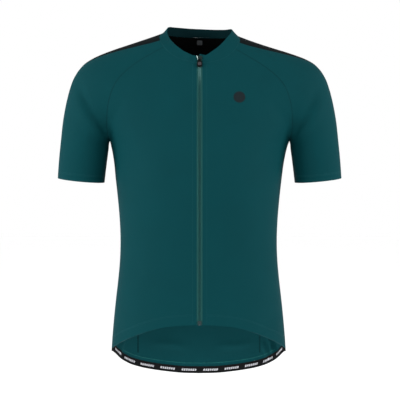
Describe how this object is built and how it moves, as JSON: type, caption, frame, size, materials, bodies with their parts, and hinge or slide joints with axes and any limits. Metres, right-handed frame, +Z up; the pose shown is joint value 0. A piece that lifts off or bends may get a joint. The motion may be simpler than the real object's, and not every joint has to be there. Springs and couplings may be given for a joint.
{
  "type": "cycling jersey",
  "caption": "Short-sleeved raglan cycling jersey with stand collar, full-length front zip and dropped elastic back hem, in its worn, hollow form.",
  "frame": {"origin": "in the middle of the neck opening, level with the shoulder ends of the collar seam, in the plane of the shoulder ridges and side seams", "axes": "+X to the wearer's left, -Y out of the front, +Z up from the hem to the neck"},
  "size_m": [0.604, 0.2455, 0.7555],
  "materials": {
    "petrol_knit": "matte",
    "black_knit": "matte",
    "black_elastic": "matte",
    "zip_tape_green": "matte",
    "zip_coil_green": "satin",
    "stop_grey": "satin",
    "slider_steel": "satin",
    "pull_charcoal": "satin"
  },
  "bodies": {
    "jersey": {"front_left": "petrol_knit", "front_right": "petrol_knit", "back": "petrol_knit", "back_pocket": "petrol_knit", "sleeve_left": "petrol_knit", "sleeve_right": "petrol_knit", "shoulder_band_left": "black_knit", "shoulder_band_right": "black_knit", "collar": "petrol_knit", "hem_band": "black_elastic", "zip_tape_left": "zip_tape_green", "zip_tape_right": "zip_tape_green", "zip_coil_left": "zip_coil_green", "zip_coil_right": "zip_coil_green", "zip_stop": "stop_grey", "zip_slider": "slider_steel", "zip_guard": "petrol_knit"},
    "pull_tab": {"zip_pull": "pull_charcoal"}
  },
  "joints": [
    {"name": "pull_swing", "type": "hinge", "parent": "jersey", "child": "pull_tab", "pos_m": [0, -0.06905, -0.05358], "axis": [-1, 0, 0], "range_deg": [0, 150]}
  ]
}
